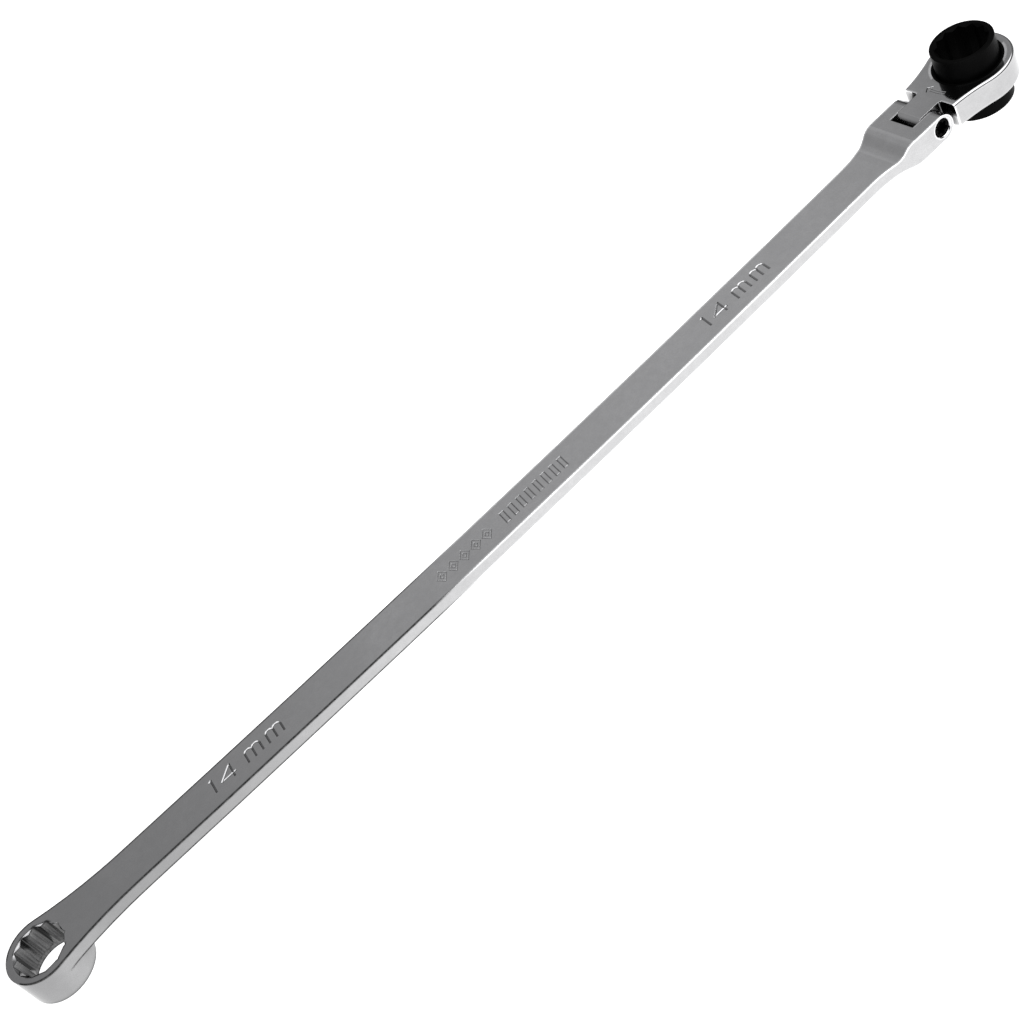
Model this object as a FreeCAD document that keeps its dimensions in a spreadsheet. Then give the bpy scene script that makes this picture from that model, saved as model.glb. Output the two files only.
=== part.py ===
"""Flex-head ratchet wrench, 14 mm: a plain box end, a long flat bar and a hinged ratchet head.

The row frame: the origin is the box end's centre, on the plane that the wrench rests on.
+X runs along the bar to the ratchet head and +Z is up. Lengths are in millimetres.
"""
import FreeCAD, Part
import math
import os
import re

import Sketcher

# alias, value, meaning
SIZES = [
    ("across_flats", 14.0, "across flats of both 12-point openings, with working clearance"),
    ("point_turn", 19.0, "turn of the openings' points from the X axis, degrees"),
    ("box_radius", 10.2, "box end, outer radius"),
    ("box_height", 11.3, "box end, height"),
    ("neck_radius", 125.0, "fillet in plan between the box end and the bar"),
    ("rim_radius", 8.19, "radius of the openings' lead-in and relief"),
    ("wall_radius", 6.9, "just inside the openings' flats"),
    ("lead_in", 0.96, "depth of the lead-in at the top of the openings"),
    ("relief", 1.6, "depth of the round relief at the bottom of the openings"),
    ("relief_slope", 0.7, "height of the slope from that relief to the flats"),
    ("bar_width", 13.4, "bar width"),
    ("bar_thick", 4.2, "bar thickness"),
    ("bar_sag", 2.2, "drop of the bar's middle below its ends"),
    ("bar_drop", 0.35, "how much lower the bar is at the fork than at the box end"),
    ("bar_start", -6.0, "where the bar's side arcs start"),
    ("ease_radius", 90.0, "arc that eases the bow into the flats at both ends"),
    ("edge_round", 0.4, "round on the lower rim of the box end"),
    ("reach", 338.2, "box end centre to hinge axis"),
    ("pin_height", 9.9, "hinge axis above the resting plane"),
    ("flare_length", 18.6, "length of the flare in plan from bar to fork"),
    ("flare_end", 8.3, "from the fork's full width to the hinge axis"),
    ("rise_length", 10.2, "length of the rise from the bar's top face to the fork's"),
    ("rise_end", 10.5, "from the end of that rise to the hinge axis"),
    ("belly_length", 8.2, "length of the drop from the bar's underside to the fork's"),
    ("belly_end", 9.8, "from the end of that drop to the hinge axis"),
    ("fork_width", 18.6, "fork width"),
    ("fork_thick", 8.5, "fork thickness"),
    ("fork_drop", 0.3, "middle of the fork's thickness below the hinge axis"),
    ("slot_width", 9.1, "width of the slot between the ears"),
    ("slot_depth", 6.3, "slot floor to hinge axis"),
    ("screw_head_radius", 2.75, "hinge screw head radius"),
    ("screw_head_long", 2.4, "hinge screw head length"),
    ("screw_inset", 0.45, "how far the screw head sits below the ear's face"),
    ("screw_radius", 2.0, "hinge screw shank radius"),
    ("thread_radius", 1.75, "hinge screw thread, plain at its mean radius"),
    ("star_radius", 1.55, "radius of the circle of the star drive's six lobes"),
    ("lobe_radius", 0.62, "radius of each lobe of the star drive"),
    ("star_depth", 1.7, "depth of the star drive"),
    ("fit_gap", 0.05, "radial clearance of running fits"),
    ("plunger_radius", 1.4, "friction plunger radius"),
    ("plunger_long", 4.5, "friction plunger length"),
    ("plunger_bore", 8.4, "depth of the plunger's bore from the slot floor"),
    ("wire_radius", 0.18, "wire radius of both springs"),
    ("head_offset", 22.4, "hinge axis to gear axis"),
    ("head_radius", 13.5, "ratchet head outer radius"),
    ("head_high", 4.25, "top of the ratchet head above the hinge plane"),
    ("head_low", 3.9, "underside of the ratchet head below the hinge plane"),
    ("shoulder_gap", 5.5, "hinge axis to the head's shoulders"),
    ("shoulder_width", 20.2, "width across the shoulders"),
    ("cheek_radius", 51.0, "hollow of the head's cheeks in plan"),
    ("cheek_angle", 108.2, "where a cheek meets the head's round end, degrees from +X"),
    ("tongue_radius", 5.0, "radius of the tongue's round end, about the hinge axis"),
    ("tongue_gap", 0.1, "clearance between the tongue and each ear"),
    ("corner_round", 0.8, "fillet between tongue and shoulder"),
    ("head_round", 0.9, "round on the head's top and bottom edges"),
    ("seat_bevel", 0.35, "bevel round the hinge screw's seat"),
    ("floor_thick", 0.9, "head floor under the gear"),
    ("cavity_radius", 10.8, "gear cavity radius"),
    ("barrel_radius", 9.6, "radius of the gear's barrel above the teeth"),
    ("base_radius", 10.5, "radius of the gear's barrel below the teeth"),
    ("barrel_rise", 11.4, "top of the barrel above the hinge plane"),
    ("barrel_bevel", 0.2, "bevel on the barrel's rims"),
    ("tip_radius", 10.6, "gear tooth tip radius"),
    ("tooth_depth", 0.65, "gear tooth depth"),
    ("teeth", 60, "number of gear teeth"),
    ("gear_bottom", -2.6, "underside of the teeth from the hinge plane"),
    ("gear_top", 2.75, "top of the teeth from the hinge plane"),
    ("washer_thick", 0.6, "thrust washer thickness"),
    ("snap_thick", 0.6, "snap ring thickness"),
    ("snap_depth", 0.4, "depth of the snap ring's groove in the head"),
    ("snap_inset", 0.15, "snap ring below the head's top face"),
    ("drag_radius", 0.23, "cross-section radius of the drag ring"),
    ("drag_mean", 10.8, "mean radius of the drag ring"),
    ("pawl_width", 7.0, "pawl width across the head"),
    ("pawl_thick", 4.6, "pawl thickness"),
    ("pawl_back", 14.2, "pawl's back face from the gear axis"),
    ("pawl_travel", 0.6, "pawl travel from the tooth tips into full mesh"),
    ("mesh_gap", 0.06, "clearance between pawl and tooth tips"),
    ("pocket_back", 14.6, "back wall of the pawl's pocket from the gear axis"),
    ("pawl_bore", 1.3, "radius of the spring bore behind the pawl"),
    ("pawl_bore_end", 18.6, "end of that bore from the gear axis"),
    ("coil_radius", 0.85, "mean radius of both springs' coils"),
    ("mark_width", 0.64, "width of an engraved stroke"),
    ("mark_depth", 0.26, "depth of an engraved stroke"),
    ("mark_proud", 0.05, "how far the engraving tool stands above the face"),
    ("mark_height", 4.9, "height of the size mark's figures"),
    ("mark_lean", 0.12, "lean of the marks, sideways for each unit of height"),
    ("mark_shift", 0.75, "middle of the size mark from the middle of the bar"),
    ("mark_overrun", 0.3, "how far a stroke runs past its ends, in stroke widths"),
    ("size_mark_at", 60.1, "start of the size mark by the box end"),
    ("size_mark_pitch", 188.5, "from that mark to the one by the ratchet head"),
    ("fineness", 0.55, "size of a fine stroke beside the size mark's"),
    ("lozenges_at", 141.5, "start of the row of lozenges"),
    ("lozenge_pitch", 4.3, "distance between the lozenges"),
    ("lozenge_half", 1.75, "half the width of a lozenge"),
    ("lozenge_inner", 0.4, "size of the inner lozenge beside the outer one's"),
    ("boxes_at", 166.8, "start of the row of boxes"),
    ("box_pitch", 3.2, "distance between the boxes"),
    ("box_half", 0.7, "half the width of a box"),
    ("arrow_radius", 14.15, "radius of the arrow on the head, about the gear axis"),
    ("arrow_gap", 0.75, "distance between the arrow's two lines"),
    ("arrow_first", 172.5, "where the arrow's lines begin behind its head, degrees"),
    ("arrow_turn", 22.5, "how far they run, degrees"),
    ("arrow_head", 6.0, "length of the arrow's head, degrees"),
    ("arrow_barb", 1.35, "from the arrow's middle line to the end of each barb"),
]

doc = FreeCAD.newDocument("ratchet_wrench")
sheet = doc.addObject("Spreadsheet::Sheet", "Sizes")
ALIASES = {alias for alias, _, _ in SIZES}
V = FreeCAD.Vector
Z_AXIS = V(0, 0, 1)
SUB_PARTS = []


def fill_sheet():
    for row, (alias, number, meaning) in enumerate(SIZES, start=1):
        sheet.set(f"A{row}", meaning)
        sheet.set(f"B{row}", str(number))
        sheet.setAlias(f"B{row}", alias)
    doc.recompute()


def bound(text):
    """An expression in which each size's name points at the sheet."""
    return re.sub(r"[a-z_]{2,}", lambda m: f"Sizes.{m[0]}" if m[0] in ALIASES else m[0], text)


def value(text):
    return float(sheet.evalExpression(text))


def sub_part(kind, label):
    """A new sub-part, whose label names its file."""
    made = doc.addObject(kind, label)
    made.Label = label
    SUB_PARTS.append(made)
    return made


def place(thing, along="0", up="0"):
    thing.setExpression("Placement.Base.x", bound(along))
    thing.setExpression("Placement.Base.z", bound(up))


# ---- sketches ---------------------------------------------------------------------------


def sketch_on(body, name, role, offset="0", turn="0"):
    """A sketch on one of the body's own origin planes, moved along its normal and turned."""
    sketch = body.newObject("Sketcher::SketchObject", name)
    plane = next(p for p in body.Origin.OriginFeatures if p.Role == role)
    sketch.AttachmentSupport = [(plane, "")]
    sketch.MapMode = "FlatFace"
    sketch.setExpression("AttachmentOffset.Base.z", bound(offset))
    sketch.setExpression("AttachmentOffset.Rotation.Angle", bound(turn))
    return sketch


def bind(sketch, kind, *where, text):
    index = sketch.addConstraint(Sketcher.Constraint(kind, *where, value(text)))
    sketch.setExpression(f"Constraints[{index}]", bound(text))


def pin_point(sketch, geo, pos, x, y):
    """Holds one point of a curve at (x, y)."""
    for kind, text, axis in (("DistanceX", x, -2), ("DistanceY", y, -1)):
        if abs(value(text)) < 1e-9:
            sketch.addConstraint(Sketcher.Constraint("PointOnObject", geo, pos, axis))
        else:
            bind(sketch, kind, -1, 1, geo, pos, text=text)


def circle(sketch, x, y, radius):
    centre = V(value(x), value(y), 0)
    geo = sketch.addGeometry(Part.Circle(centre, Z_AXIS, value(radius)))
    pin_point(sketch, geo, 3, x, y)
    bind(sketch, "Radius", geo, text=radius)


def arc_between(start, end, radius, side):
    """The short arc from start to end; side 1 turns left and side -1 turns right."""
    half = (end - start) * 0.5
    left = V(-half.y, half.x, 0).normalize()
    centre = start + half + left * side * math.sqrt(radius**2 - half.Length**2)
    first, last = (start, end) if side > 0 else (end, start)
    angles = [math.atan2(p.y - centre.y, p.x - centre.x) for p in (first, last)]
    return Part.ArcOfCircle(Part.Circle(centre, Z_AXIS, radius), *angles)


def outline(sketch, corners):
    """A closed outline. A corner is (x, y), or (x, y, radius, side) where an arc leads to it."""
    spots = [V(value(c[0]), value(c[1]), 0) for c in corners]
    edges = []
    for i, corner in enumerate(corners):
        start, end = spots[i - 1], spots[i]
        if len(corner) == 2:
            edges.append((sketch.addGeometry(Part.LineSegment(start, end)), 1, 2))
            continue
        radius, side = corner[2:]
        geo = sketch.addGeometry(arc_between(start, end, value(radius), side))
        bind(sketch, "Radius", geo, text=radius)
        edges.append((geo, 1, 2) if side > 0 else (geo, 2, 1))
    for i, (geo, _, last) in enumerate(edges):
        following, first, _ = edges[(i + 1) % len(edges)]
        sketch.addConstraint(Sketcher.Constraint("Coincident", geo, last, following, first))
        pin_point(sketch, geo, last, *corners[i][:2])


def rectangle(sketch, x_low, x_high, y_low, y_high):
    outline(sketch, [(x_low, y_low), (x_high, y_low), (x_high, y_high), (x_low, y_high)])


def hexagon(sketch, flats):
    """A regular hexagon about the origin with a corner on the sketch's X axis."""
    radius = f"{flats} / sqrt(3)"
    outline(sketch, [(f"{radius} * cos({60 * i})", f"{radius} * sin({60 * i})") for i in range(6)])


# ---- features ---------------------------------------------------------------------------


def extrude(body, kind, sketch, length=None, side_type="One side", back=False):
    """A pad or a pocket of the sketch, through everything when no length is given."""
    feature = body.newObject(kind, f"{sketch.Name}_{kind.split('::')[1].lower()}")
    feature.Profile = sketch
    feature.SideType = side_type
    feature.Reversed = back
    if length is None:
        feature.Type = "ThroughAll"
    else:
        feature.setExpression("Length", bound(length))
    doc.recompute()
    return feature


def pad(body, sketch, length, **options):
    return extrude(body, "PartDesign::Pad", sketch, length, **options)


def pocket(body, sketch, length=None, **options):
    """A pocket, which has to take something off."""
    before = body.Shape.Volume
    feature = extrude(body, "PartDesign::Pocket", sketch, length, **options)
    if body.Shape.Volume > before - 1e-4:
        raise RuntimeError(f"{feature.Name} cuts nothing")
    return feature


def turned(body, kind, sketch, axis="V_Axis"):
    """A revolution or a groove of the sketch, a full turn about one of its axes."""
    feature = body.newObject(kind, f"{sketch.Name}_turned")
    feature.Profile = sketch
    feature.ReferenceAxis = (sketch, [axis])
    feature.Angle = 360
    doc.recompute()
    return feature


def ring(body, name, r_inner, r_outer, bottom, top, kind="PartDesign::Revolution"):
    """A square-edged ring about Z, added or cut."""
    sketch = sketch_on(body, name, "XZ_Plane")
    rectangle(sketch, r_inner, r_outer, bottom, top)
    return turned(body, kind, sketch)


def round_edges(body, name, radius, chosen, kind="PartDesign::Fillet"):
    """A fillet, or a chamfer, on the edges of the body's tip that chosen() picks."""
    tip = body.Tip
    names = [f"Edge{i}" for i, e in enumerate(tip.Shape.Edges, start=1) if chosen(e)]
    feature = body.newObject(kind, name)
    feature.Base = (tip, names)
    feature.setExpression("Radius" if kind.endswith("Fillet") else "Size", bound(radius))
    doc.recompute()
    return feature


def twelve_points(body, prefix):
    """A 12-point opening through the body, along Z: two hexagons a twelfth of a turn apart."""
    for name, turn in (("a", "point_turn"), ("b", "point_turn + 30")):
        sketch = sketch_on(body, f"{prefix}_{name}", "XY_Plane", turn=turn)
        hexagon(sketch, "across_flats")
        pocket(body, sketch, side_type="Symmetric")


def rims(body, prefix, bottom, top):
    """The opening's lead-in at its top and its round relief at its bottom."""
    lead_in = sketch_on(body, f"{prefix}_lead_in", "XZ_Plane")
    low = f"{top} - lead_in"
    outline(lead_in, [("0", top), ("0", low), ("wall_radius", low), ("rim_radius", top)])
    turned(body, "PartDesign::Groove", lead_in)
    relief = sketch_on(body, f"{prefix}_relief", "XZ_Plane")
    high = f"{bottom} + relief + relief_slope"
    points = [("0", bottom), ("rim_radius", bottom), ("rim_radius", f"{bottom} + relief")]
    outline(relief, points + [("wall_radius", high), ("0", high)])
    turned(body, "PartDesign::Groove", relief)


def is_upright(edge):
    return abs(edge.tangentAt(edge.FirstParameter).z) > 0.7


# ---- the bar with its box end and fork ---------------------------------------------------


def swell(x, low, high, side, run):
    """Two equal arcs that carry an outline smoothly over run, from height low to high at x.

    A negative run is an outline that comes back towards -X.
    """
    radius = swell_radius(low, high, run)
    middle = (f"{x} - ({run}) * 0.5", f"({low} + ({high})) * 0.5", radius, side)
    return [middle, (x, high, radius, -side)]


def swell_radius(low, high, run):
    rise = f"({high} - ({low}))"
    return f"(({run})^2 + {rise}^2) / (4 * abs({rise}))"


def bar_plan(body):
    """The bar's outline seen from above, from the box end's centre to the ends of the ears."""
    sketch = sketch_on(body, "bar_plan", "XY_Plane")
    neck_y = "(neck_radius + bar_width * 0.5)"
    neck_x = f"sqrt((box_radius + neck_radius)^2 - {neck_y}^2)"
    touch = "box_radius / (box_radius + neck_radius)"
    touch_x, touch_y = f"{neck_x} * {touch}", f"{neck_y} * {touch}"
    fork, end = "reach - flare_end", "reach + fork_thick * 0.5"
    start = f"{fork} - flare_length"
    half, wide = "bar_width * 0.5", "fork_width * 0.5"
    outline(sketch, [
        ("0", f"-({touch_y})"),
        (touch_x, f"-({touch_y})"),
        (neck_x, f"-{half}", "neck_radius", -1),
        (start, f"-{half}"),
        *swell(fork, f"-{half}", f"-{wide}", -1, "flare_length"),
        (end, f"-{wide}"),
        (end, wide),
        (fork, wide),
        *swell(start, wide, half, 1, "-flare_length"),
        (neck_x, half),
        (touch_x, touch_y, "neck_radius", -1),
        ("0", touch_y),
    ])
    return sketch


def bar_side(body):
    """Sketches of what the bar's side profile takes off above the bar and below it."""
    top, bottom = "box_height", "box_height - bar_thick"
    fork_top, fork_bottom = f"{top} - bar_drop", f"{bottom} - bar_drop"
    pin = "pin_height - fork_drop"
    high, low = f"{pin} + fork_thick * 0.5", f"{pin} - fork_thick * 0.5"
    start = "reach - rise_end - rise_length"
    middle = f"(bar_start + {start}) * 0.5"
    half = f"(({start} - bar_start) * 0.5)"
    bow = f"(({half}^2 + bar_sag^2) / (2 * bar_sag))"
    ease = f"(ease_radius * {half} / {bow})"
    dip = f"ease_radius * (1 - sqrt(1 - ({half} / {bow})^2))"
    sag = "(bar_sag + bar_drop * 0.5)"
    ear = "fork_thick * 0.5"
    first, last = "-2 * box_radius", "reach + box_radius"
    above, below = "3 * box_height", "-3 * box_height"

    over = sketch_on(body, "over_bar", "XZ_Plane")
    outline(over, [
        (f"reach + {ear}", pin),
        ("reach", high, ear, 1),
        ("reach - rise_end", high),
        *swell(f"{start} + {ease}", high, fork_top, 1, f"{ease} - rise_length"),
        (start, f"{fork_top} - {dip}", "ease_radius", 1),
        (middle, f"{top} - {dip} - {sag}", bow, -1),
        ("bar_start", f"{top} - {dip}", bow, -1),
        (f"bar_start - {ease}", top, "ease_radius", 1),
        (first, top),
        (first, above),
        (last, above),
        (last, pin),
    ])
    under = sketch_on(body, "under_bar", "XZ_Plane")
    outline(under, [
        (first, bottom),
        (f"bar_start - {ease}", bottom),
        ("bar_start", f"{bottom} - {dip}", "ease_radius", -1),
        (middle, f"{bottom} - {dip} - {sag}", bow, 1),
        (start, f"{fork_bottom} - {dip}", bow, 1),
        (f"{start} + {ease}", fork_bottom, "ease_radius", -1),
        ("reach - belly_end - belly_length", fork_bottom),
        *swell("reach - belly_end", fork_bottom, low, -1, "belly_length"),
        ("reach", low),
        (f"reach + {ear}", pin, ear, 1),
        (last, pin),
        (last, below),
        (first, below),
    ])
    return over, under


def make_bar():
    body = doc.addObject("PartDesign::Body", "bar_forging")
    pad(body, bar_plan(body), "4 * box_height", side_type="Symmetric")
    over, under = bar_side(body)
    pocket(body, under, side_type="Symmetric")
    boss = sketch_on(body, "box_ring", "XY_Plane")
    circle(boss, "0", "0", "box_radius")
    pad(body, boss, "box_height")
    round_edges(body, "box_edge", "edge_round", is_box_rim)
    pocket(body, over, side_type="Symmetric")
    twelve_points(body, "box_points")
    rims(body, "box", "0", "box_height")

    slot = sketch_on(body, "fork_slot", "XY_Plane")
    half_slot = "slot_width * 0.5"
    rectangle(slot, "reach - slot_depth", "reach + 20", f"-{half_slot}", half_slot)
    pocket(body, slot, side_type="Symmetric")
    make_screw_hole(body)

    bore = sketch_on(body, "plunger_bore", "YZ_Plane", "reach - slot_depth")
    circle(bore, "0", "pin_height", "plunger_radius + fit_gap")
    pocket(body, bore, "plunger_bore")
    return body


def is_box_rim(edge):
    """The bottom rim of the box end."""
    return edge.BoundBox.ZMax < 0.01


def make_screw_hole(body):
    """Through both ears along Y: a head seat and clearance at -Y, a thread's mean at +Y."""
    outer = "fork_width * 0.5"
    seat = sketch_on(body, "screw_seat", "XZ_Plane", outer)
    circle(seat, "reach", "pin_height", "screw_head_radius + fit_gap")
    pocket(body, seat, "screw_inset + screw_head_long")
    clearance = sketch_on(body, "screw_clearance", "XZ_Plane", outer)
    circle(clearance, "reach", "pin_height", "screw_radius + fit_gap")
    pocket(body, clearance, outer)
    tapped = sketch_on(body, "screw_thread", "XZ_Plane")
    circle(tapped, "reach", "pin_height", "thread_radius + fit_gap")
    pocket(body, tapped, outer)
    round_edges(body, "seat_rim", "seat_bevel", is_seat_rim, "PartDesign::Chamfer")


def is_seat_rim(edge):
    box = edge.BoundBox
    at_face = abs(box.YMin + value("fork_width") / 2) < 0.01 and box.YLength < 0.01
    return at_face and abs(box.XLength - 2 * value("screw_head_radius + fit_gap")) < 0.05


# ---- engraved marks ----------------------------------------------------------------------


def groove_section(at, across, fineness=1):
    """The V section of an engraved stroke, upright at a point, standing a little proud."""
    half, deep = value("mark_width") / 2 * fineness, value("mark_depth") * fineness
    proud = value("mark_proud")
    aside = across * half * (1 + proud / deep)
    points = [at - aside + Z_AXIS * proud, at - Z_AXIS * deep, at + aside + Z_AXIS * proud]
    return Part.Face(Part.makePolygon(points + points[:1]))


def stroke(start, end, fineness=1):
    """A straight engraved line, which runs a little past its two points."""
    along = end - start
    past = along.normalize() * value("mark_overrun * mark_width") * fineness
    across = V(-past.y, past.x, 0).normalize()
    return groove_section(start - past, across, fineness).extrude(end - start + past * 2)


def arch(centre, radius, turn=180, first=0, fineness=1):
    """A round stroke about centre, from the angle first."""
    direction = polar(1, first)
    start = groove_section(centre + direction * radius, direction, fineness)
    return start.revolve(centre, Z_AXIS, turn)


def polar(radius, degrees):
    return V(radius * math.cos(math.radians(degrees)), radius * math.sin(math.radians(degrees)), 0)


def spot(x, y):
    """A point of a mark, leaned over."""
    return V(x + y * value("mark_lean"), y, 0)


def lines(*points):
    """Strokes from point to point."""
    spots = [spot(*p) for p in points]
    return [stroke(a, b) for a, b in zip(spots, spots[1:])]


def engraved_outline(x, y, half_x, half_y, pointed):
    """A fine V groove with mitred corners, round a box or a lozenge that stands on its point."""
    half, deep = value("mark_width / 2 * fineness"), value("mark_depth * fineness")
    proud = value("mark_proud")
    brim = half * (1 + proud / deep)
    corners = ((1, 1), (-1, 1), (-1, -1), (1, -1))
    mitre_x = mitre_y = 1
    if pointed:
        corners = ((1, 0), (0, 1), (-1, 0), (0, -1))
        mitre_x, mitre_y = math.hypot(half_x, half_y) / half_y, math.hypot(half_x, half_y) / half_x
    rings = []
    for aside, up in ((brim, proud), (0, -deep), (-brim, proud)):
        reach, rise = half_x + aside * mitre_x, half_y + aside * mitre_y
        rings.append([spot(x + reach * a, y + rise * b) + Z_AXIS * up for a, b in corners])
    faces = [polygon(wall) for wall in walls(rings[0], rings[1]) + walls(rings[1], rings[2])]
    lid = Part.makeFace([polygon(rings[0]), polygon(rings[2])], "Part::FaceMakerBullseye")
    return Part.makeSolid(Part.makeShell([Part.Face(face) for face in faces] + [lid]))


def walls(low, high):
    """The corners of each four-sided wall between two rings of points."""
    return [[low[i - 1], low[i], high[i], high[i - 1]] for i in range(len(low))]


def polygon(points):
    return Part.makePolygon(points + points[:1])


def figure_four(x, high):
    """A four with an open look: a long slant, a low bar and a short stem."""
    bar, stem = high * 0.26, x + high * 0.82
    slant = lines((stem, high), (x, bar), (x + high, bar))
    return slant + lines((stem, 0), (stem, high))


def letter_m(x, high):
    """Three stems, with two round arches between them."""
    radius = high * 0.3
    shoulder = high - radius
    stems = []
    for i in range(3):
        stems += lines((x + 2 * radius * i, 0), (x + 2 * radius * i, shoulder))
    return stems + [arch(spot(x + radius * (2 * i + 1), shoulder), radius) for i in range(2)]


def size_mark():
    """14 mm, the wrench's size. The letters stand lower than the figures."""
    high = value("mark_height")
    low = high * 0.87
    four_at, first_m, second_m = high * 0.5, high * 2.35, high * 3.88
    pieces = lines((0, 0), (0, high), (-0.12 * high, 0.93 * high)) + figure_four(four_at, high)
    return pieces + letter_m(first_m, low) + letter_m(second_m, low)


def lozenge_mark():
    """A plain ornament: a row of lozenges in double outline."""
    middle, half = value("mark_height / 2"), value("lozenge_half")
    pieces = []
    for i in range(5):
        x = half + value("lozenge_pitch") * i
        for size in (1, value("lozenge_inner")):
            pieces.append(engraved_outline(x, middle, half * size, middle * size, True))
    return pieces


def box_mark():
    """A plain ornament: a row of tall boxes in outline."""
    middle, half = value("mark_height / 2"), value("box_half")
    places = [half + value("box_pitch") * i for i in range(8)]
    return [engraved_outline(x, middle, half, middle, False) for x in places]


def bar_top(x):
    """Height and slope, in degrees, of the bar's top face at x."""
    start = value("bar_start")
    end = value("reach - rise_end - rise_length")
    half, sag, ease = (end - start) / 2, value("bar_sag"), value("ease_radius")
    bow = (half**2 + sag**2) / (2 * sag)
    dip = ease * (1 - math.sqrt(1 - (half / bow)**2))
    from_middle = x - (start + end) / 2
    tilt = value("bar_drop") / (end - start)
    below = dip + math.sqrt(bow**2 - from_middle**2) - (bow - sag) + tilt * (x - start)
    return value("box_height") - below, math.degrees(math.asin(from_middle / bow) - tilt)


def marks_cutter():
    """The tool that engraves the bar's top face, laid along its bow."""
    shift = value("mark_shift")
    groups = [("size_mark_at", shift, size_mark()), ("lozenges_at", 0, lozenge_mark())]
    groups += [("boxes_at", 0, box_mark()), ("size_mark_at + size_mark_pitch", shift, size_mark())]
    tools = []
    for at, aside, pieces in groups:
        mark = pieces[0].multiFuse(pieces[1:])
        half = mark.BoundBox.XLength / 2
        x = value(at)
        height, slope = bar_top(x + half)
        mark.translate(V(-half, aside - value("mark_height") / 2, 0))
        mark.rotate(V(), V(0, 1, 0), -slope)
        mark.translate(V(x + half, 0, height))
        tools.append(mark)
    cutter = doc.addObject("Part::Feature", "marks_cutter")
    cutter.Shape = Part.makeCompound(tools)
    return cutter


def make_handle():
    """The forged bar, engraved."""
    handle = sub_part("Part::Cut", "handle_bar")
    handle.Base = make_bar()
    handle.Tool = marks_cutter()


# ---- the hinge ---------------------------------------------------------------------------


def make_hinge_screw():
    """Its frame is on the hinge axis, at the tool's middle; the head is at -Y."""
    body = sub_part("PartDesign::Body", "hinge_screw")
    place(body, "reach", "pin_height")
    profile = sketch_on(body, "screw_profile", "XY_Plane")
    face = "-(fork_width * 0.5 - screw_inset)"
    seat = f"{face} + screw_head_long - fit_gap"
    thread = "slot_width * 0.5 + 0.2"
    tip = "fork_width * 0.5 - 0.6"
    outline(profile, [
        ("0", face),
        ("screw_head_radius - 0.25", face),
        ("screw_head_radius", f"{face} + 0.25"),
        ("screw_head_radius", seat),
        ("screw_radius", seat),
        ("screw_radius", f"{thread} - 0.3"),
        ("thread_radius", thread),
        ("thread_radius", f"{tip} - 0.5"),
        ("thread_radius - 0.4", tip),
        ("0", tip),
    ])
    turned(body, "PartDesign::Revolution", profile)
    centre = sketch_on(body, "star_centre", "XZ_Plane", f"-({face})")
    circle(centre, "0", "0", "star_radius")
    pocket(body, centre, "star_depth")
    lobe = sketch_on(body, "star_lobe", "XZ_Plane", f"-({face})")
    circle(lobe, "0", "star_radius", "lobe_radius")
    cut = pocket(body, lobe, "star_depth")
    spread(body, cut, lobe, "6")


def spread(body, feature, sketch, count):
    """Repeats a feature round the sketch's normal."""
    pattern = body.newObject("PartDesign::PolarPattern", f"{feature.Name}_all")
    pattern.Originals = [feature]
    pattern.Axis = (sketch, ["N_Axis"])
    pattern.Angle = 360
    pattern.setExpression("Occurrences", bound(count))
    body.Tip = pattern
    doc.recompute()


def make_plunger():
    """Presses on the tongue's round end and holds the head where it is put."""
    body = sub_part("PartDesign::Body", "friction_plunger")
    place(body, "reach", "pin_height")
    profile = sketch_on(body, "plunger_profile", "XZ_Plane")
    nose = "-(tongue_radius + fit_gap)"
    outline(profile, [
        (f"{nose} - plunger_long", "0"),
        (f"{nose} - plunger_long", "plunger_radius - 0.2"),
        (f"{nose} - plunger_long + 0.2", "plunger_radius"),
        (f"{nose} - 0.5", "plunger_radius"),
        (nose, "plunger_radius - 0.5", "0.5", -1),
        (nose, "0"),
    ])
    turned(body, "PartDesign::Revolution", profile, "H_Axis")


def make_spring(label, start, end, coils):
    """A coil spring along -X, from start to end on its body's axis, seen from the hinge or gear."""
    body = sub_part("PartDesign::Body", label)
    body.setExpression("Placement.Base.x", bound(start))
    body.setExpression("Placement.Base.z", bound("pin_height"))
    body.Placement.Rotation = FreeCAD.Rotation(V(0, 1, 0), -90)
    wire = sketch_on(body, f"{label}_wire", "XZ_Plane")
    circle(wire, "coil_radius", "wire_radius", "wire_radius")
    coil = body.newObject("PartDesign::AdditiveHelix", f"{label}_coil")
    coil.Profile = wire
    coil.ReferenceAxis = (wire, ["V_Axis"])
    coil.Mode = "height-turns-angle"
    coil.setExpression("Height", bound(f"{start} - ({end}) - 2 * wire_radius"))
    coil.Turns = coils
    doc.recompute()


# ---- the ratchet head --------------------------------------------------------------------


def head_plan(body):
    """The head from above, about the gear axis, from the shoulders to the round end."""
    sketch = sketch_on(body, "head_plan", "XY_Plane", "-head_low")
    shoulder = "shoulder_gap - head_offset"
    half = "shoulder_width * 0.5"
    cheek_x, cheek_y = "head_radius * cos(cheek_angle)", "head_radius * sin(cheek_angle)"
    outline(sketch, [
        (shoulder, half, "cheek_radius", -1),
        (shoulder, f"-{half}"),
        (cheek_x, f"-{cheek_y}", "cheek_radius", -1),
        ("head_radius", "0", "head_radius", 1),
        (cheek_x, cheek_y, "head_radius", 1),
    ])
    return sketch


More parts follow.
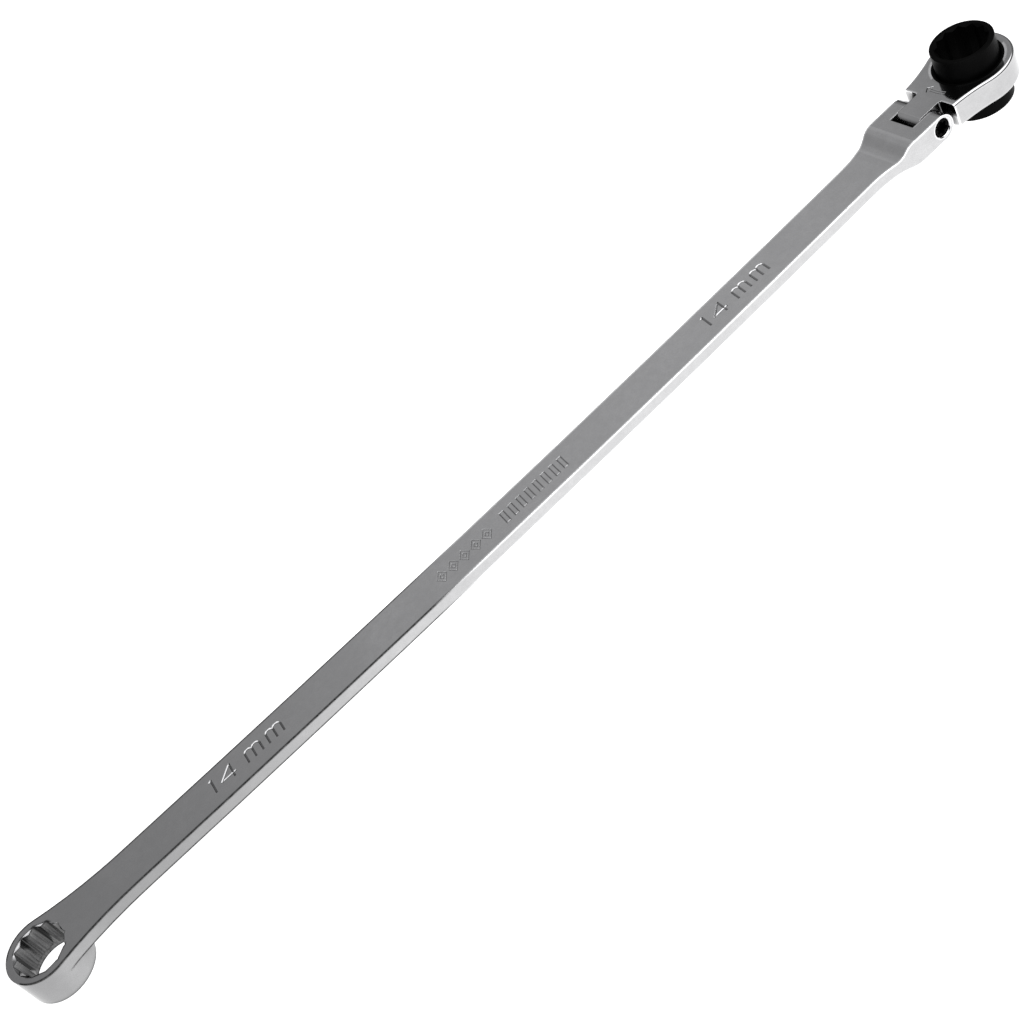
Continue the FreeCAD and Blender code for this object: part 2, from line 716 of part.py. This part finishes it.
def make_head():
    """Housing and tongue in one. Its frame is on the gear axis, at the hinge's height."""
    body = doc.addObject("PartDesign::Body", "head_forging")
    place(body, "reach + head_offset", "pin_height")
    pad(body, head_plan(body), "head_high + head_low")
    round_edges(body, "head_rounds", "head_round", is_head_rim)

    tongue = sketch_on(body, "tongue_side", "XZ_Plane")
    shoulder = "shoulder_gap - head_offset + 1"
    top_flat = "sqrt(tongue_radius^2 - head_high^2)"
    bottom_flat = "sqrt(tongue_radius^2 - head_low^2)"
    outline(tongue, [
        (shoulder, "-head_low"),
        (shoulder, "head_high"),
        (f"-head_offset - {top_flat}", "head_high"),
        ("-head_offset - tongue_radius", "0", "tongue_radius", 1),
        (f"-head_offset - {bottom_flat}", "-head_low", "tongue_radius", 1),
    ])
    pad(body, tongue, "slot_width - 2 * tongue_gap", side_type="Symmetric")
    round_edges(body, "tongue_corners", "corner_round", is_tongue_corner)

    make_gear_cavity(body)
    make_pawl_pocket(body)
    hole = sketch_on(body, "hinge_hole", "XZ_Plane")
    circle(hole, "-head_offset", "0", "screw_radius + fit_gap")
    pocket(body, hole, side_type="Symmetric")
    return body


def is_head_rim(edge):
    """The top and bottom edges round the cheeks and the round end, not the shoulders."""
    return edge.BoundBox.ZLength < 0.01 and edge.BoundBox.XLength > 0.01


def is_tongue_corner(edge):
    box = edge.BoundBox
    at_shoulder = abs(box.XMin - value("shoulder_gap - head_offset")) < 0.01 and box.XLength < 0.01
    return at_shoulder and is_upright(edge) and box.YMax < 5 and box.YMin > -5


def make_gear_cavity(body):
    floor = "floor_thick - head_low"
    cavity = sketch_on(body, "gear_cavity", "XY_Plane", "head_high")
    circle(cavity, "0", "0", "cavity_radius")
    pocket(body, cavity, f"head_high - ({floor})")
    hole = sketch_on(body, "floor_hole", "XY_Plane")
    circle(hole, "0", "0", "base_radius + 0.1")
    pocket(body, hole, side_type="Symmetric")
    snap_top = "head_high - snap_inset + fit_gap"
    snap_bottom = "head_high - snap_inset - snap_thick - fit_gap"
    ring(body, "snap_groove", "cavity_radius - 1", "cavity_radius + snap_depth", snap_bottom,
         snap_top, "PartDesign::Groove")
    ring(body, "drag_seat", "base_radius", "drag_mean + drag_radius + 0.05", f"{floor} - 0.35",
         f"{floor} + 0.5", "PartDesign::Groove")


def make_pawl_pocket(body):
    slot = sketch_on(body, "pawl_pocket", "XY_Plane")
    half = "pawl_width * 0.5 + fit_gap"
    rectangle(slot, "-pocket_back", "-8", f"-({half})", half)
    pocket(body, slot, "pawl_thick + 2 * fit_gap", side_type="Symmetric")
    bore = sketch_on(body, "pawl_bore", "YZ_Plane", "-10")
    circle(bore, "0", "0", "pawl_bore")
    pocket(body, bore, "pawl_bore_end - 10")


def direction_arrow():
    """An engraved arrow in outline, curved about the gear axis beside the cavity."""
    fine, barb = value("fineness"), value("arrow_barb")
    middle, half = value("arrow_radius"), value("arrow_gap") / 2
    first, turn = value("arrow_first"), value("arrow_turn")
    tip = polar(middle, first - value("arrow_head"))
    pieces = []
    for side in (-1, 1):
        pieces.append(arch(V(), middle + side * half, turn, first, fine))
        pieces.append(stroke(tip, polar(middle + side * barb, first - 1), fine))
    return pieces


def make_head_housing():
    housing = sub_part("Part::Cut", "head_housing")
    housing.Base = make_head()
    pieces = direction_arrow()
    arrow = doc.addObject("Part::Feature", "arrow_cutter")
    shape = pieces[0].multiFuse(pieces[1:])
    shape.translate(V(value("reach + head_offset"), 0, value("pin_height + head_high")))
    arrow.Shape = shape
    housing.Tool = arrow


def toothed_disc(body, prefix, gap, bottom, top):
    """A disc with V grooves between its teeth, standing off the gear's own form by gap."""
    disc = sketch_on(body, f"{prefix}_disc", "XY_Plane", bottom)
    circle(disc, "0", "0", f"tip_radius + {gap}")
    pad(body, disc, f"{top} - ({bottom})")
    groove = sketch_on(body, f"{prefix}_groove", "XY_Plane", top)
    root = f"tip_radius - tooth_depth + {gap} * 1.7"
    brim = "tip_radius + 0.3"
    deep = f"({brim} - ({root}))"
    outline(groove, [(f"-({root})", "0"), (f"-({brim})", f"{deep} * 0.72"), (f"-({brim})", f"-{deep} * 0.46")])
    cut = pocket(body, groove, f"{top} - ({bottom})")
    spread(body, cut, groove, "teeth")


def make_gear():
    """The drive gear: fine teeth round a barrel that is open right through."""
    body = sub_part("PartDesign::Body", "drive_gear")
    place(body, "reach + head_offset", "pin_height")
    toothed_disc(body, "gear", "0", "gear_bottom", "gear_top")
    barrel = sketch_on(body, "barrel", "XY_Plane", "gear_bottom")
    circle(barrel, "0", "0", "barrel_radius")
    pad(body, barrel, "barrel_rise - gear_bottom")
    base = sketch_on(body, "barrel_base", "XY_Plane", "gear_bottom")
    circle(base, "0", "0", "base_radius")
    pad(body, base, "pin_height + gear_bottom", back=True)
    round_edges(body, "barrel_bevels", "barrel_bevel", is_barrel_rim, "PartDesign::Chamfer")
    twelve_points(body, "gear_points")
    rims(body, "gear", "-pin_height", "barrel_rise")


def is_barrel_rim(edge):
    box = edge.BoundBox
    at_end = abs(box.ZMax - value("barrel_rise")) < 0.01 or abs(box.ZMin + value("pin_height")) < 0.01
    return at_end and box.ZLength < 0.01


def make_pawl():
    """A sliding block with teeth that match the gear's, stored just clear of the tooth tips."""
    block = doc.addObject("PartDesign::Body", "pawl_block")
    place(block, "reach + head_offset", "pin_height")
    plan = sketch_on(block, "pawl_plan", "XY_Plane")
    half = "pawl_width * 0.5"
    rectangle(plan, "-pawl_back", "-9.2", f"-{half}", half)
    pad(block, plan, "pawl_thick", side_type="Symmetric")
    seat = sketch_on(block, "pawl_spring_seat", "YZ_Plane", "-pawl_back")
    circle(seat, "0", "0", "pawl_bore")
    pocket(block, seat, "1.6", back=True)

    form = doc.addObject("PartDesign::Body", "pawl_tooth_form")
    place(form, "reach + head_offset - pawl_travel", "pin_height")
    toothed_disc(form, "form", "mesh_gap", "-pawl_thick", "pawl_thick")
    pawl = sub_part("Part::Cut", "pawl")
    pawl.Base = block
    pawl.Tool = form


def make_rings():
    """What holds the gear in the head: drag ring below, thrust washer and snap ring above."""
    washer = sub_part("PartDesign::Body", "thrust_washer")
    place(washer, "reach + head_offset", "pin_height")
    low = "gear_top + 0.05"
    ring(washer, "washer_section", "barrel_radius + 0.1", "cavity_radius - 0.05", low,
         f"{low} + washer_thick")

    snap = sub_part("PartDesign::Body", "snap_ring")
    place(snap, "reach + head_offset", "pin_height")
    top = "head_high - snap_inset"
    ring(snap, "snap_section", "cavity_radius - 0.75", "cavity_radius + snap_depth - 0.05",
         f"{top} - snap_thick", top)
    gap = sketch_on(snap, "snap_gap", "XY_Plane")
    rectangle(gap, "8", "14", "-1.2", "1.2")
    pocket(snap, gap, side_type="Symmetric")

    drag = sub_part("PartDesign::Body", "drag_ring")
    place(drag, "reach + head_offset", "pin_height")
    section = sketch_on(drag, "drag_section", "XZ_Plane")
    circle(section, "drag_mean", "floor_thick - head_low - 0.05", "drag_radius")
    turned(drag, "PartDesign::Revolution", section)


# ---- checks and files --------------------------------------------------------------------


def check():
    for thing in doc.Objects:
        if any(word in thing.State for word in ("Invalid", "Error")):
            raise RuntimeError(f"{thing.Name} did not compute: {thing.State}")
    for piece in SUB_PARTS:
        if piece.Shape.isNull() or not piece.Shape.isValid():
            raise RuntimeError(f"{piece.Label} has no valid shape")


def write():
    os.makedirs("parts", exist_ok=True)
    for piece in SUB_PARTS:
        piece.Shape.exportStep(f"parts/{piece.Label}.step")
        box = piece.Shape.BoundBox
        print(f"{piece.Label}: {piece.Shape.Volume:.1f} mm3, {len(piece.Shape.Solids)} solid, "
              f"x {box.XMin:.2f} to {box.XMax:.2f}, z {box.ZMin:.2f} to {box.ZMax:.2f}")


fill_sheet()
make_handle()
make_hinge_screw()
make_plunger()
make_spring("plunger_spring", "reach - tongue_radius - fit_gap - plunger_long - 0.9",
            "reach - slot_depth - plunger_bore + 0.1", 5)
make_head_housing()
make_gear()
make_pawl()
make_spring("pawl_spring", "reach + head_offset - pawl_back + 0.6",
            "reach + head_offset - pawl_bore_end + 0.1", 5)
make_rings()
doc.recompute()
check()
write()
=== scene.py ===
"""Flex-head ratchet wrench on a pale floor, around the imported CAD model. Metres, row frame."""
import math

import bpy
from mathutils import Matrix, Vector

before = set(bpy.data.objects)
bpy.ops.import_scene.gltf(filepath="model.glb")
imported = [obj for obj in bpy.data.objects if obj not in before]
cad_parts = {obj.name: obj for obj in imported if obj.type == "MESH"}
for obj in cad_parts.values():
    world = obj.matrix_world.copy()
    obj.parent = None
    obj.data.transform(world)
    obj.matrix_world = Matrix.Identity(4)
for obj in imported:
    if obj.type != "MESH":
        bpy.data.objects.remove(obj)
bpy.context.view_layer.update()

MM = 0.001

# ---- plate -------------------------------------------------------------------------------

# Noise scales, per metre, and tones as shares of the plate's own.
CLOUDS, BLOTCHES, GRAIN, SPECKS = 70, 420, 2300, 5200
CLOUD_DARK, CLOUD_LIGHT, BLOTCH_TONE, GRAIN_TONE = 0.94, 1.05, 0.86, 0.82
# Painted shade towards the box end: its tone and its greatest share.
PAINTED_SHADE_TONE, PAINTED_SHADE_SHARE = 0.46, 0.5
# Places along X: painted shade covers the plate fully up to the first and is gone from the
# second.
PAINTED_SHADE_TO, CLEAR_FROM = 45 * MM, 125 * MM
# The long edges, with painted shade and painted highlight. They are further than these from the
# middle line, and change along X.
EDGE_WIDTH = 1.1 * MM
NO_EDGE_WITHIN, EDGE_BEYOND = 4.6 * MM, 5.0 * MM
# Painted shade on the long edges by the box end and painted highlight from the middle of the bar
# on, and where along X the one gives way to the other.
PAINTED_EDGE_SHADE, PAINTED_EDGE_HIGHLIGHT = 0.03, 0.95
PAINTED_EDGE_SHADE_TO, PAINTED_EDGE_HIGHLIGHT_FROM = 135 * MM, 155 * MM
# Painted shade in the gaps.
PAINTED_GAP_SHADE = 0.02
HOLE_REACH = 17 * MM  # far enough to see across an opening
REFLECTION_STREAK_STRETCH = (1400, 1400, 60)  # drawn out along a hole's walls
# Painted shade on a hole's walls, with streaks of painted reflection.
HOLE_SHADE_DARK, HOLE_REFLECTION_LIGHT = 0.015, 0.1

# ---- studio ------------------------------------------------------------------------------

FLOOR_SIZE, FLOOR_CENTRE = 8, (0.17, 0, 0)
FLOOR_GAIN = 2
# How much the floor glows at each X. The wrench's sides reflect it.
FLOOR_GLOW = [
    (-0.016, 0.5), (-0.003, 0.56), (0.006, 0.65), (0.02, 0.51), (0.06, 0.56),
    (0.18, 0.75), (0.3, 0.76), (0.335, 0.76), (0.36, 0.66),
]
# How bright the screen is at each azimuth, in degrees from +Y towards +X. The wrench's top
# faces reflect it.
SCREEN = [
    (-85, 0.3), (-50, 0.46), (-24, 0.47), (-14, 0.42), (-13, 0.44), (-7, 0.52), (-4, 0.54),
    (2.4, 0.53), (10, 0.58), (18, 0.655), (25, 0.665), (31, 0.62), (37, 0.42), (60, 0.3),
]
HORIZON, CEILING, SOFTBOX = 0.01, 0.55, 2.8

# The photograph's camera: where it stands and which ways it has right, down and ahead.
CAMERA_MM = (85.833, -357.99, 333.07)
CAMERA_RIGHT = (0.7154, -0.5544, -0.4254)
CAMERA_DOWN = (-0.6773, -0.4004, -0.6172)
CAMERA_AHEAD = (0.1719, 0.7296, -0.6619)
SENSOR_MM, LENS_MM = 36, 62.173

# ---- node helpers ------------------------------------------------------------------------


class Tree:
    """A short way to write a node tree."""

    def __init__(self, tree):
        self.tree = tree
        tree.nodes.clear()

    def node(self, kind, inputs=None, **settings):
        made = self.tree.nodes.new(kind)
        for name, setting in settings.items():
            setattr(made, name, setting)
        for name, source in (inputs or {}).items():
            self.feed(made.inputs[name], source)
        return made

    def feed(self, socket, source):
        if isinstance(source, bpy.types.NodeSocket):
            self.tree.links.new(source, socket)
        else:
            socket.default_value = source

    def math(self, operation, a, b=0.0):
        return self.node("ShaderNodeMath", {0: a, 1: b}, operation=operation).outputs[0]

    def ramp(self, source, low, high, to_low=0.0, to_high=1.0, **settings):
        inputs = {"Value": source, "From Min": low, "From Max": high}
        inputs.update({"To Min": to_low, "To Max": to_high})
        return self.node("ShaderNodeMapRange", inputs, **settings).outputs[0]

    def spread(self, noise, low=0.0, high=1.0):
        """Noise, which keeps near its middle, spread out from low to high."""
        return self.ramp(noise, 0.3, 0.7, low, high)

    def stops(self, source, low, high, levels):
        """Grey levels at places between low and high, joined by straight runs."""
        made = self.node("ShaderNodeValToRGB", {"Fac": self.ramp(source, low, high)})
        elements = made.color_ramp.elements
        for place, level in levels:
            elements.new((place - low) / (high - low)).color = grey(level)
        # The two that every new ramp has lie outside the others.
        elements.remove(elements[-1])
        elements.remove(elements[0])
        return made.outputs["Color"]

    def mix(self, share, a, b):
        inputs = {0: share, 6: a, 7: b}  # a colour mix's sockets
        return self.node("ShaderNodeMix", inputs, data_type="RGBA").outputs[2]

    def noise(self, scale, detail=2.0, stretch=(1, 1, 1), rough=0.5):
        """Noise with a grain of 1/scale metres, finer along an axis whose stretch is above 1."""
        coord = self.node("ShaderNodeTexCoord").outputs["Object"]
        mapped = self.node("ShaderNodeMapping", {"Vector": coord, "Scale": stretch})
        inputs = {"Vector": mapped.outputs[0], "Scale": scale, "Detail": detail}
        inputs["Roughness"] = rough
        return self.node("ShaderNodeTexNoise", inputs).outputs["Fac"]


def grey(level):
    return (level, level, level * 1.01, 1.0)  # a touch cool


# ---- materials ---------------------------------------------------------------------------


def new_material(name):
    made = bpy.data.materials.new(name)
    made.use_nodes = True
    return made, Tree(made.node_tree)


def near_edge(t, radius, turned=0.85):
    """A normal that rounds the edges off, and a mask of the edges.

    The mask is full where the normal's cosine to the face's own is down to turned.
    """
    geometry = t.node("ShaderNodeNewGeometry")
    rounded = t.node("ShaderNodeBevel", {"Radius": radius}, samples=8).outputs[0]
    inputs = {0: rounded, 1: geometry.outputs["Normal"]}
    turn = t.node("ShaderNodeVectorMath", inputs, operation="DOT_PRODUCT")
    return rounded, t.ramp(turn.outputs["Value"], 0.998, turned)


def openness(t, reach, **settings):
    """How open a place is: low in gaps and holes."""
    inputs = {"Distance": reach}
    return t.node("ShaderNodeAmbientOcclusion", inputs, samples=8, **settings).outputs["AO"]


def finish_material(t, base, roughness, height, depth, normal, **uniform):
    bump = t.node("ShaderNodeBump", {"Height": height, "Distance": depth, "Normal": normal})
    shader = t.node("ShaderNodeBsdfPrincipled", {"Base Color": base, "Roughness": roughness})
    for name, setting in uniform.items():
        shader.inputs[name.replace("_", " ")].default_value = setting
    t.feed(shader.inputs["Normal"], bump.outputs[0])
    t.node("ShaderNodeOutputMaterial", {"Surface": shader.outputs[0]})


def plated_steel(name, light, rough, edge_round, gap_shade_reach=3 * MM):
    """Nickel-chrome plate with a fine grain, clouding, painted shade in the gaps and painted
    shade and highlight on the long edges.

    The long edges have painted shade by the box end and a painted highlight from the middle of
    the bar on.
    """
    made, t = new_material(name)
    rounded, _ = near_edge(t, edge_round)
    cloud = t.noise(CLOUDS, 3, rough=0.55)
    blotch = t.noise(BLOTCHES, 3, rough=0.6)
    grain = t.noise(GRAIN, 3, rough=0.65)
    speck = t.noise(SPECKS, 1)
    place = t.node("ShaderNodeTexCoord").outputs["Object"]
    along, across, _ = t.node("ShaderNodeSeparateXYZ", {0: place}).outputs

    clouded = t.spread(cloud)
    blotched = t.ramp(blotch, 0.35, 0.68, 0.0, 0.6)
    grained = t.ramp(grain, 0.3, 0.72, 0.0, 0.5)
    # Painted shade: the plate is darker towards the box end.
    painted_shade = t.ramp(along, PAINTED_SHADE_TO, CLEAR_FROM, PAINTED_SHADE_SHARE, 0.0)
    base = t.mix(clouded, grey(light * CLOUD_DARK), grey(light * CLOUD_LIGHT))
    base = t.mix(blotched, base, grey(light * BLOTCH_TONE))
    base = t.mix(grained, base, grey(light * GRAIN_TONE))
    base = t.mix(painted_shade, base, grey(light * PAINTED_SHADE_TONE))

    # Painted shade and painted highlight on the long edges: dark by the box end, bright from the
    # middle of the bar on.
    _, edge = near_edge(t, EDGE_WIDTH, 0.95)
    long_edge = t.ramp(t.math("ABSOLUTE", across), NO_EDGE_WITHIN, EDGE_BEYOND)
    painted_edge_light = t.math("MULTIPLY", edge, t.ramp(t.noise(900, 3), 0.35, 0.6, 0.85, 1.0))
    painted_edge_light = t.math("MULTIPLY", painted_edge_light, long_edge)
    edge_highlight_share = t.ramp(along, PAINTED_EDGE_SHADE_TO, PAINTED_EDGE_HIGHLIGHT_FROM)
    base = t.mix(painted_edge_light, base, t.mix(edge_highlight_share, grey(PAINTED_EDGE_SHADE), grey(PAINTED_EDGE_HIGHLIGHT)))

    # Painted shade: darker in the gaps, where the plate is hemmed in.
    gap_shade_share = t.ramp(openness(t, gap_shade_reach), 0.75, 0.25, 0.0, 0.9)
    base = t.mix(gap_shade_share, base, grey(PAINTED_GAP_SHADE))
    # Painted shade in the holes, broken by streaks of painted reflection.
    painted_hole_shade = t.ramp(openness(t, HOLE_REACH, only_local=True), 0.78, 0.52)
    painted_hole_reflections = t.ramp(t.noise(1.0, 3, rough=0.6, stretch=REFLECTION_STREAK_STRETCH), 0.35, 0.65)
    base = t.mix(painted_hole_shade, base, t.mix(painted_hole_reflections, grey(HOLE_SHADE_DARK), grey(HOLE_REFLECTION_LIGHT)))

    roughness = t.spread(cloud, rough, rough * 1.3)
    roughness = t.math("ADD", roughness, t.spread(grain, -0.01, 0.03))
    height = t.math("ADD", grain, t.math("MULTIPLY", speck, 0.4))
    finish_material(t, base, roughness, height, 0.004 * MM, rounded, Metallic=1.0)
    return made


def black_oxide(name):
    """Black oxide on steel: near black, worn a little on its edges, with painted shade in its
    gaps.
    """
    made, t = new_material(name)
    rounded, edge = near_edge(t, 0.15 * MM)
    gap = openness(t, 2 * MM)
    cloud = t.noise(180, 4, rough=0.6)
    worn = t.math("MULTIPLY", edge, t.ramp(t.noise(1500, 3), 0.45, 0.7, 0.0, 0.12))
    base = t.mix(t.spread(cloud), grey(0.0006), grey(0.002))
    base = t.mix(worn, base, grey(0.05))
    # Painted shade: darker still in the gaps between parts.
    base = t.mix(t.ramp(gap, 0.7, 0.2, 0.0, 0.8), base, grey(0.001))
    roughness = t.spread(cloud, 0.34, 0.48)
    finish_material(t, base, roughness, t.noise(2400, 3), 0.008 * MM, rounded,
                    Specular_IOR_Level=0.025)
    return made


def rubber(name):
    """Dull black rubber, a little uneven."""
    made, t = new_material(name)
    cloud = t.noise(400, 4)
    base = t.mix(cloud, grey(0.012), grey(0.03))
    normal = t.node("ShaderNodeNewGeometry").outputs["Normal"]
    roughness = t.spread(cloud, 0.55, 0.75)
    finish_material(t, base, roughness, t.noise(3000, 3), 0.01 * MM, normal)
    return made


def dress(material, *nodes):
    for node in nodes:
        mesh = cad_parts[node].data
        mesh.materials.clear()
        mesh.materials.append(material)


dress(plated_steel("satin_chrome", light=0.49, rough=0.13, edge_round=0.25 * MM), "handle_bar")
dress(plated_steel("polished_chrome", light=0.49, rough=0.05, edge_round=0.2 * MM,
                   gap_shade_reach=6 * MM), "head_housing")
dress(plated_steel("ground_steel", light=0.42, rough=0.3, edge_round=0.1 * MM),
      "pawl", "friction_plunger", "pawl_spring", "plunger_spring")
dress(black_oxide("black_oxide"), "drive_gear", "hinge_screw", "thrust_washer", "snap_ring")
dress(rubber("nitrile_rubber"), "drag_ring")


# ---- floor, light and camera -------------------------------------------------------------


def make_floor():
    """A white sheet lit from below, a little brighter towards the ratchet head."""
    bpy.ops.mesh.primitive_plane_add(size=FLOOR_SIZE, location=FLOOR_CENTRE)
    floor = bpy.context.object
    floor.name = "floor"
    made, t = new_material("pale_floor")
    place = t.node("ShaderNodeNewGeometry").outputs["Position"]
    along = t.node("ShaderNodeSeparateXYZ", {0: place}).outputs["X"]
    glow = t.math("MULTIPLY", t.stops(along, -0.05, 0.4, FLOOR_GLOW), FLOOR_GAIN)
    shader = t.node("ShaderNodeBsdfPrincipled", {"Base Color": (0.1, 0.1, 0.1, 1)})
    shader.inputs["Roughness"].default_value = 0.9
    shader.inputs["Emission Color"].default_value = (1, 1, 1, 1)
    t.feed(shader.inputs["Emission Strength"], glow)
    t.node("ShaderNodeOutputMaterial", {"Surface": shader.outputs[0]})
    floor.data.materials.append(made)


def make_sky():
    """A grey room, with a screen behind the wrench and a bright softbox over its near side.

    The ways are of unit length, so z is the sine of the height above the horizon. Behind is +Y.
    """
    world = bpy.data.worlds.new("studio")
    bpy.context.scene.world = world
    world.use_nodes = True
    t = Tree(world.node_tree)
    way = t.node("ShaderNodeTexCoord").outputs["Generated"]
    x, y, z = t.node("ShaderNodeSeparateXYZ", {0: way}).outputs
    azimuth = t.math("MULTIPLY", t.math("ARCTAN2", x, y), 180 / math.pi)

    above_horizon = t.ramp(z, 0.1, 0.55, interpolation_type="SMOOTHSTEP")
    shade = t.mix(above_horizon, grey(HORIZON), t.stops(azimuth, -90, 90, SCREEN))
    high = t.ramp(z, 0.68, 0.74, interpolation_type="SMOOTHSTEP")
    ceiling = t.math("MULTIPLY", high, t.ramp(y, -0.25, -0.1))
    shade = t.mix(ceiling, shade, grey(CEILING))
    softbox = t.math("MULTIPLY", t.ramp(y, 0.3, 0.1), t.ramp(z, 0.5, 0.62))
    below_zenith = t.ramp(z, 0.965, 0.945)  # so that the top faces aren't white from above
    shade = t.mix(t.math("MULTIPLY", softbox, below_zenith), shade, grey(SOFTBOX))
    lit = t.node("ShaderNodeBackground", {"Color": shade, "Strength": 1.0})
    t.node("ShaderNodeOutputWorld", {"Surface": lit.outputs[0]})


def make_camera():
    data = bpy.data.cameras.new("camera")
    data.sensor_width = SENSOR_MM
    data.lens = LENS_MM
    data.clip_start = 10 * MM
    camera = bpy.data.objects.new("camera", data)
    axes = Vector(CAMERA_RIGHT), -Vector(CAMERA_DOWN), -Vector(CAMERA_AHEAD)
    turn = Matrix(axes).transposed().to_4x4()
    camera.matrix_world = Matrix.Translation(Vector(CAMERA_MM) * MM) @ turn
    bpy.context.scene.collection.objects.link(camera)
    bpy.context.scene.camera = camera


make_floor()
make_sky()
make_camera()
bpy.context.scene.view_settings.view_transform = "Standard"
